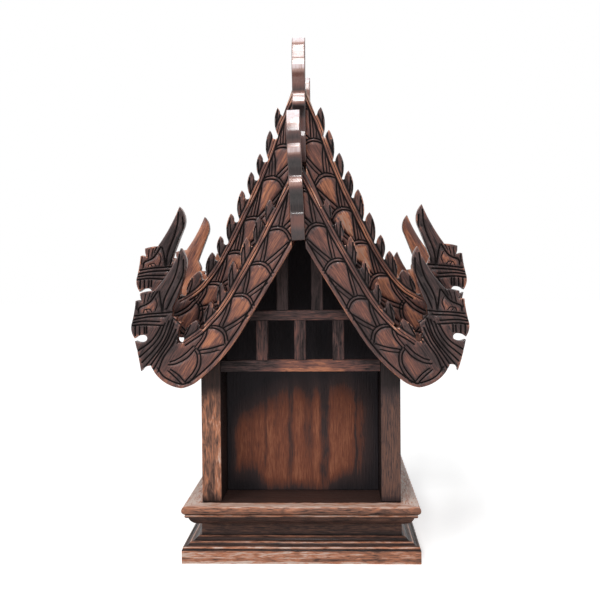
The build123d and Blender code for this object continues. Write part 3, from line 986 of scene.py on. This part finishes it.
class HOUSE_OT_serpents(bpy.types.Operator):
    """Carve and stain the eight serpent boards"""
    bl_idname = "spirit_house.serpents"
    bl_label = "Carve Serpent Boards"

    # How much the wood shows through where it is rubbed, and how light the stain is.
    front_looks = {("upper", "right"): (0.95, 0.18), ("upper", "left"): (0.5, 0.19),
                   ("lower", "left"): (0.3, 0.20), ("lower", "right"): (0.15, 0.17)}
    rear_look = (0.4, 0.19)

    # How far the grain leans from upright, in degrees, and the step from one board's seed to
    # the next.
    slopes = {"lower": 31.0, "upper": 27.5}
    seed_step = 0.37

    def execute(self, context):
        for end_name, tier, side_name in product(ENDS, TIERS, SIDES):
            mesh, node = carved_board(end_name, tier, side_name)
            front = end_name == "front"
            warm, light = self.front_looks[tier, side_name] if front else self.rear_look
            turn = (0, -SIDES[side_name] * radians(self.slopes[tier]), 0)
            seed = self.seed_step * len(bpy.data.materials)
            stain = carved_stain(f"{mesh.name}_stain", turn, warm, light, seed)
            placed(mesh, mesh.name, node, stain)
        return {"FINISHED"}


class HOUSE_OT_finials(bpy.types.Operator):
    """Round and varnish the four finials, with painted highlight and shade bands on their edges"""
    bl_idname = "spirit_house.finials"
    bl_label = "Polish Finials"

    # How pale each finial is at each height, over its stain: painted highlight on the bulges and
    # the top, painted shade in the hollows. The bands fall a little to the right. The broad sides
    # have no painted bands and are worn alike all over.
    wear = {
        "lower": ((0.320, 0.30), (0.330, 0.24), (0.338, 0.46), (0.345, 0.42), (0.351, 0.10),
                  (0.366, 0.07), (0.371, 0.30), (0.376, 0.70), (0.382, 0.72), (0.386, 0.12),
                  (0.398, 0.10), (0.403, 0.40), (0.407, 0.84), (0.411, 0.84), (0.415, 0.42),
                  (0.421, 0.20), (0.430, 0.42), (0.437, 0.86), (0.450, 0.98)),
        "upper": ((0.404, 0.28), (0.430, 0.34), (0.448, 0.36), (0.452, 0.12), (0.460, 0.12),
                  (0.465, 0.84), (0.472, 0.80), (0.477, 0.25), (0.484, 0.50), (0.492, 0.52),
                  (0.498, 0.88), (0.504, 0.88), (0.511, 0.56), (0.523, 0.60), (0.527, 0.90),
                  (0.533, 0.98)),
    }
    heights = (0.30, 0.54)
    fall = -0.05
    broad = 0.36

    def execute(self, context):
        for tier, stops in self.wear.items():
            stain = PlainStain(f"{tier}_finial_polish", UPRIGHT, 1.3, 0.04, 0.05)
            x, _, z = stain.split(stain.place)
            height = stain.total(z, (x, self.fall))
            edge_on = stain.spread(stain.away(stain.split(stain.normal)[0]), 0.6, 0.2)
            # Painted highlight where the bands are pale and painted shade where they are dark, on
            # the narrow edges only.
            painted_light_band = stain.less(stain.level(height, *self.heights, stops), self.broad)
            # The rounded edges are paler as well, partly as wear and partly as painted highlight.
            wear = stain.total(self.broad, (stain.times(painted_light_band, edge_on), 1.0),
                               (stain.change, 0.6), (stain.edge, 0.45))
            stain.varnish(0.05, 0.7, 0.12)
            base = stain.wood(wear, orange="painted_haze", worn="painted_highlight")
            material = stain.finish(base, 0.35, stain.streaks, 0.05)
            for end_name in ENDS:
                softened(f"{end_name}_{tier}_finial", "polished", settings("edges").finial,
                         material, segments=3)
        return {"FINISHED"}


class HOUSE_OT_roof(bpy.types.Operator):
    """Stain the roof boards"""
    bl_idname = "spirit_house.roof"
    bl_label = "Stain Roof Boards"

    def execute(self, context):
        stain = PlainStain("roof_board", DEEP, 2.1, 0.06, 0.09)
        stain.varnish(0.15)
        wear = stain.total(0.50, (stain.change, 1.0), (stain.edge, 0.3))
        material = stain.planed(wear, 0.5, 0.4)
        for node in [n for n in NODES if n.endswith(("roof_left", "roof_right"))]:
            softened(node, "board", settings("edges").plank, material)
        return {"FINISHED"}


class HOUSE_OT_walls(bpy.types.Operator):
    """Stain the side walls, the right one darker than the left, with painted shade on them"""
    bl_idname = "spirit_house.walls"
    bl_label = "Stain Walls"

    # How light the walls are at each height: painted shade at the foot and under the roof.
    shade = ((0.056, 0.25), (0.064, 0.85), (0.075, 1.0), (0.150, 1.0), (0.166, 0.75),
             (0.176, 0.22))
    heights = (0.05, 0.20)

    # Each wall's wear and mottle, and the darkest of its plain colours.
    looks = {"left": (0.56, 0.26, "earth"), "right": (0.27, 0.035, "dark")}

    def execute(self, context):
        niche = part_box("right_wall")[0].x
        for side_name, (level, mottle, dark) in self.looks.items():
            stain = PlainStain(f"{side_name}_wall_plank", UPRIGHT, 0.9 + level, mottle, 0.10)
            stain.varnish(0.12, 0.06, 0.2)
            x, _, z = stain.split(stain.place)
            # Painted shade on the faces inside the niche, which are made much darker than the
            # outside.
            outside = stain.spread(stain.away(x), niche + 0.0001, niche + 0.0008)
            shade = stain.times(stain.level(z, *self.heights, self.shade),
                                stain.total(0.12, (outside, 0.88)))
            wear = stain.total(level, (stain.change, 1.0),
                               (stain.spread(x, -0.090, -0.083), 0.1), (stain.edge, 0.25))
            material = stain.planed(stain.times(wear, shade), 0.45, 0.6, dark=dark,
                                    brown="plank", worn="dry")
            softened(f"{side_name}_wall", "plank_worn", settings("edges").plank, material)
        return {"FINISHED"}


class HOUSE_OT_panels(bpy.types.Operator):
    """Stain the gable panels, with dark bands along the grain, and paint shade that turns them
    near black towards the walls, under the beam and at the foot"""
    bl_idname = "spirit_house.panels"
    bl_label = "Stain Gable Panels"

    # Dark bands along the grain: place across, half width, how dark, and from which height. A
    # band darkens in full this much higher.
    bands = ((-0.0400, 0.0016, 0.16, 0.070), (-0.0130, 0.0030, 0.20, 0.070),
             (0.0060, 0.0060, 0.17, 0.096), (0.0235, 0.0050, 0.30, 0.060),
             (0.0565, 0.0012, 0.16, 0.070), (-0.0290, 0.0020, 0.08, 0.110))
    band_rise = 0.02

    # Where the lit middle begins and ends, as heights for places across the panel, and between
    # which places across it fades at the left and at the right. Outside it the panel is painted
    # with shade, near black.
    tops = ((-0.10, 0.136), (-0.07, 0.142), (-0.04, 0.160), (-0.012, 0.174), (0.045, 0.176),
            (0.08, 0.164))
    feet = ((-0.10, 0.076), (-0.05, 0.071), (-0.036, 0.055), (0.026, 0.055), (0.038, 0.063),
            (0.08, 0.074))
    across = (-0.1, 0.1)
    left = (-0.0805, -0.067)
    right = (0.082, 0.056)

    def execute(self, context):
        stain = PlainStain("panel_wood", UPRIGHT, 0.3, 0.045, 0.05)
        stain.varnish(0.1)
        x, _, z = stain.split(stain.place)
        sway = stain.noise(stain.along(UPRIGHT, (0.2, 1, 1), (0, 0, 2.0)), 22, 3, 0.55)
        place = stain.total(x, (sway, 0.0020))
        clouds = stain.noise(stain.along(UPRIGHT, (1, 1, 0.6)), 34, 3, 0.5)
        height = stain.total(z, (clouds, 0.0035), (stain.streaks, 0.0015))
        wear = stain.total(0.55, (stain.change, 1.1), (clouds, 0.05),
                           (stain.spread(x, 0.045, 0.062), -0.17))
        for middle, half, dark, bottom in self.bands:
            away = stain.away(place, middle)
            band = stain.times(stain.spread(away, half * 1.5, half * 0.4),
                               stain.spread(z, bottom, bottom + self.band_rise, 0.35, 1.0))
            wear = stain.total(wear, (band, -dark))
        below = stain.less(stain.level(x, *self.across, self.tops), height)
        above = stain.less(height, stain.level(x, *self.across, self.feet))
        # Painted shade: outside the lit middle the panel is darkened to near black.
        lit = stain.times(stain.times(stain.spread(place, *self.left),
                                      stain.spread(place, *self.right)),
                          stain.times(stain.spread(below, -0.018, 0.030),
                                      stain.spread(above, -0.012, 0.020)))
        wear = stain.times(wear, stain.total(0.06, (lit, 0.94)))
        material = stain.planed(wear, 0.5, 0.5, cut="panel_painted_shade", brown="panel")
        for end_name in ENDS:
            softened(f"{end_name}_panel", "boards", settings("edges").plank, material)
        return {"FINISHED"}


class HOUSE_OT_lattice(bpy.types.Operator):
    """Stain the beams, bars and struts of the gables, with painted shade at their ends and tops"""
    bl_idname = "spirit_house.lattice"
    bl_label = "Stain Lattice"

    # Which way the grain runs, how worn the wood is, and how much lighter in the middle, which is
    # this far to the right. The darker ends are painted shade.
    looks = {"strut": (UPRIGHT, 0.27, 0.0), "bar": (ACROSS, 0.20, 0.13),
             "beam": (ACROSS, 0.14, 0.42)}
    middle = 0.008

    def execute(self, context):
        stains = {}
        for name, (turn, level, rubbed) in self.looks.items():
            stain = PlainStain(f"lattice_{name}", turn, 4.2, 0.14, 0.11)
            stain.varnish(0.1)
            x, _, z = stain.split(stain.place)
            wear = stain.total(level, (stain.change, 1.0),
                               (stain.spread(stain.away(x, self.middle), 0.070, 0.010), rubbed),
                               (stain.spread(x, 0.02, 0.05), 0.25 * rubbed),
                               (stain.edge, 0.42))
            # The struts darken towards the top: painted shade under the roof.
            if name == "strut":
                wear = stain.times(wear, stain.spread(z, 0.262, 0.225, 0.55, 1.0))
            stains[name] = stain.planed(wear, 0.48, 0.4)
        for node in [n for n in NODES if n.endswith(("beam", "bar", "struts"))]:
            kind = next(name for name in stains if name in node)
            softened(node, "worn", settings("edges").lattice, stains[kind])
        return {"FINISHED"}


class HOUSE_OT_plinth(bpy.types.Operator):
    """Stain the plinth mouldings, the rails and the floor board, with painted shade on the niche's
    floor
    """
    bl_idname = "spirit_house.plinth"
    bl_label = "Stain Plinth"

    # How pale the plinth is at each height: bare on the beads and noses, black in the quirks. Both
    # are partly wear and stain, partly painted highlight on the beads and noses and painted shade
    # in the quirks.
    # The ledge's heights take over from the foot's where the ledge starts.
    foot_wear = ((0.0000, 0.95), (0.0020, 0.90), (0.0030, 0.62), (0.0048, 0.60), (0.0060, 0.80),
                 (0.0110, 0.82), (0.0128, 0.66), (0.0135, 0.12), (0.0146, 0.10),
                 (0.0152, 0.72), (0.0166, 0.92), (0.0171, 0.32), (0.0178, 0.12),
                 (0.0190, 0.30), (0.0199, 0.92), (0.0204, 0.34), (0.0210, 0.08),
                 (0.0232, 0.24), (0.0240, 0.60), (0.0246, 0.05), (0.0270, 0.28),
                 (0.0350, 0.33), (0.0400, 0.27))
    ledge_wear = ((0.0400, 0.27), (0.0440, 0.30), (0.0449, 0.10), (0.0456, 0.50), (0.0462, 0.18),
                  (0.0472, 0.78), (0.0482, 0.92), (0.0486, 0.06), (0.0494, 0.06), (0.0500, 0.72),
                  (0.0506, 0.46), (0.0530, 0.58), (0.0552, 0.62), (0.0562, 0.84), (0.0569, 0.95),
                  (0.0575, 0.80))
    ledge = (0.040, 0.060)

    # The niche's floor is painted with shade, near black, between these places from the middle of
    # the house: from front to back, across and in height.
    floor_deep = (0.1335, 0.1305)
    floor_wide = (0.1035, 0.0995)
    floor_high = (0.0565, 0.0572)

    def execute(self, context):
        stains = {}
        start = self.ledge[0]
        for name, turn in (("across", ACROSS), ("deep", DEEP)):
            stain = PlainStain(f"plinth_{name}", turn, 6.1, 0.16, 0.17)
            stain.varnish(0.1, 0.12, 0.2)
            x, y, z = stain.split(stain.place)
            height = stain.total(z, (stain.noise(stain.along(turn, (1, 1, 0.3)), 40, 2), 0.0002))
            foot = stain.level(height, 0.0, start, self.foot_wear)
            ledge = stain.level(height, *self.ledge, self.ledge_wear)
            share = stain.math("GREATER_THAN", z, start)
            level = stain.total(stain.times(foot, stain.total(1.0, (share, -1.0))),
                                (stain.times(ledge, share), 1.0))
            swing = stain.times(stain.change, stain.spread(level, 0.1, 0.6, 0.3, 1.0))
            wear = stain.total(level, (swing, 1.0))
            shade_edge_wobble = stain.noise(stain.along(), 90, 3, 0.6)
            deep, wide = (stain.total(stain.away(side), (shade_edge_wobble, 0.0012)) for side in (y, x))
            # Painted shade on the niche's floor, darkened to near black.
            niche_floor_shade = stain.times(stain.spread(deep, *self.floor_deep),
                                stain.spread(wide, *self.floor_wide))
            niche_floor_shade = stain.times(niche_floor_shade, stain.spread(z, *self.floor_high))
            wear = stain.times(wear, stain.total(1.0, (niche_floor_shade, -0.99)))
            # Darker towards the right and towards the foot.
            lower_right_darkening = stain.times(stain.spread(x, -0.02, 0.11), stain.spread(z, 0.04, 0.02))
            wear = stain.total(wear, (lower_right_darkening, -0.05))
            stains[name] = stain.planed(wear, 0.4, 0.6, dark="earth", brown="plank", worn="dry")
        for node in [n for n in NODES if "moulding" in n or "neck" in n or n == "floor_board"]:
            name = "deep" if node.endswith(("left", "right")) else "across"
            softened(node, "worn", settings("edges").moulding, stains[name])
        return {"FINISHED"}


class HOUSE_OT_stage(bpy.types.Operator):
    """Set up the floor, the lamps, the room light and the camera"""
    bl_idname = "spirit_house.stage"
    bl_label = "Set Stage"

    # Each lamp's width and height, its place, and the place that it points at.
    middle = (0, -0.05, 0.24)
    lamps = {
        "key": ((0.9, 0.9), (-0.85, -1.10, 1.15), middle),
        "fill": ((1.0, 1.0), (1.2, -0.9, 0.6), middle),
        "strip": ((0.07, 0.55), (-0.03, -0.80, 1.14), (0, -0.16, 0.38)),
        "top": ((0.07, 0.40), (-0.03, -0.42, 1.35), (0, -0.17, 0.44)),
    }

    # The floor's size, and how bright it looks of itself from one distance to another.
    floor_size = 14
    glow = (0.25, 1.6, 0.60, 0.85)

    # The camera: its focal length in pixels of a picture this wide, the width of its sensor in
    # millimetres, its place, and how it is turned about Z, X and Y in degrees.
    focal_pixels = 913.7
    picture_width = 600
    sensor_width = 36
    eye = (0.0336, -1.050, 0.2928)
    turns = ((2.07, "Z"), (-1.88, "X"), (0.47, "Y"), (90, "X"))

    def execute(self, context):
        studio = settings("studio")
        scene = context.scene
        scene.view_settings.view_transform = "Standard"
        self.floor(studio)
        self.room(scene, studio)
        for name, (size, place, target) in self.lamps.items():
            self.lamp(scene, name, getattr(studio, name), size, place, target)
        self.camera(scene)
        return {"FINISHED"}

    def floor(self, studio):
        """A pale floor that looks brighter further out, where the lamps do not reach."""
        bpy.ops.mesh.primitive_plane_add(size=self.floor_size)
        floor = bpy.context.object
        floor.name = "studio_floor"
        material = bpy.data.materials.new("studio_floor")
        material.use_nodes = True
        material.node_tree.nodes.clear()
        wiring = Wiring(material.node_tree)
        place = wiring.new("ShaderNodeTexCoord").outputs["Object"]
        reach = wiring.new("ShaderNodeVectorMath", operation="LENGTH")
        matt = wiring.new("ShaderNodeBsdfDiffuse")
        glow = wiring.new("ShaderNodeEmission")
        both = wiring.new("ShaderNodeAddShader")
        output = wiring.new("ShaderNodeOutputMaterial")
        wiring.link(place, reach.inputs[0])
        share = wiring.spread(reach.outputs["Value"], *self.glow, kind="LINEAR")
        for source, target in (((*studio.floor, 1), matt.inputs["Color"]),
                               (wiring.times(wiring.seen_rays(), share), glow.inputs["Strength"]),
                               (matt.outputs[0], both.inputs[0]),
                               (glow.outputs[0], both.inputs[1]),
                               (both.outputs[0], output.inputs["Surface"])):
            wiring.link(source, target)
        floor.data.materials.append(material)

    def room(self, scene, studio):
        world = bpy.data.worlds.new("studio_room")
        scene.world = world
        world.use_nodes = True
        wiring = Wiring(world.node_tree)
        back = world.node_tree.nodes["Background"]
        back.inputs["Color"].default_value = (1, 1, 1, 1)
        share = wiring.spread(wiring.seen_rays(), 0.0, 1.0, studio.room, 1.0, kind="LINEAR")
        wiring.link(share, back.inputs["Strength"])

    def lamp(self, scene, name, power, size, place, target):
        light = bpy.data.lights.new(name, "AREA")
        light.energy = power
        light.shape = "RECTANGLE"
        light.size, light.size_y = size
        lamp = bpy.data.objects.new(name, light)
        lamp.location = place
        lamp.rotation_euler = (Vector(target) - Vector(place)).to_track_quat("-Z", "Y").to_euler()
        scene.collection.objects.link(lamp)

    def camera(self, scene):
        data = bpy.data.cameras.new("camera")
        data.sensor_width = self.sensor_width
        data.lens = self.focal_pixels * self.sensor_width / self.picture_width
        data.clip_start = 0.05
        camera = bpy.data.objects.new("camera", data)
        camera.matrix_world = Matrix.Translation(self.eye)
        for angle, axis in self.turns:
            camera.matrix_world = camera.matrix_world @ Matrix.Rotation(radians(angle), 4, axis)
        scene.collection.objects.link(camera)
        scene.camera = camera


class HouseSettings(bpy.types.PropertyGroup):
    carving: PointerProperty(type=CarvingSettings, name="Carving",
                             description="Cut lines of the serpent boards")
    edges: PointerProperty(type=EdgeSettings, name="Edges", description="Worn edges")
    stain: PointerProperty(type=StainSettings, name="Stain", description="Colours of the wood")
    studio: PointerProperty(type=StudioSettings, name="Studio", description="Light and floor")


OPERATORS = (HOUSE_OT_serpents, HOUSE_OT_finials, HOUSE_OT_roof, HOUSE_OT_walls,
             HOUSE_OT_panels, HOUSE_OT_lattice, HOUSE_OT_plinth, HOUSE_OT_stage)


class HOUSE_PT_panel(bpy.types.Panel):
    """Lists the settings and the steps of the spirit house"""
    bl_idname = "HOUSE_PT_panel"
    bl_label = "Spirit House"
    bl_space_type = "VIEW_3D"
    bl_region_type = "UI"
    bl_category = "Spirit House"

    def draw(self, context):
        house = context.scene.spirit_house
        for part in (house.carving, house.edges, house.stain, house.studio):
            box = self.layout.box()
            for name in part.__annotations__:
                box.prop(part, name)
        for operator in OPERATORS:
            self.layout.operator(operator.bl_idname)


CLASSES = (CarvingSettings, EdgeSettings, StainSettings, StudioSettings, HouseSettings,
           *OPERATORS, HOUSE_PT_panel)


def register():
    for cls in CLASSES:
        bpy.utils.register_class(cls)
    bpy.types.Scene.spirit_house = PointerProperty(type=HouseSettings)


def unregister():
    del bpy.types.Scene.spirit_house
    for cls in reversed(CLASSES):
        bpy.utils.unregister_class(cls)


def main():
    register()
    bpy.ops.spirit_house.serpents()
    bpy.ops.spirit_house.finials()
    bpy.ops.spirit_house.roof()
    bpy.ops.spirit_house.walls()
    bpy.ops.spirit_house.panels()
    bpy.ops.spirit_house.lattice()
    bpy.ops.spirit_house.plinth()
    bpy.ops.spirit_house.stage()
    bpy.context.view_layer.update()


if __name__ == "__main__":
    main()
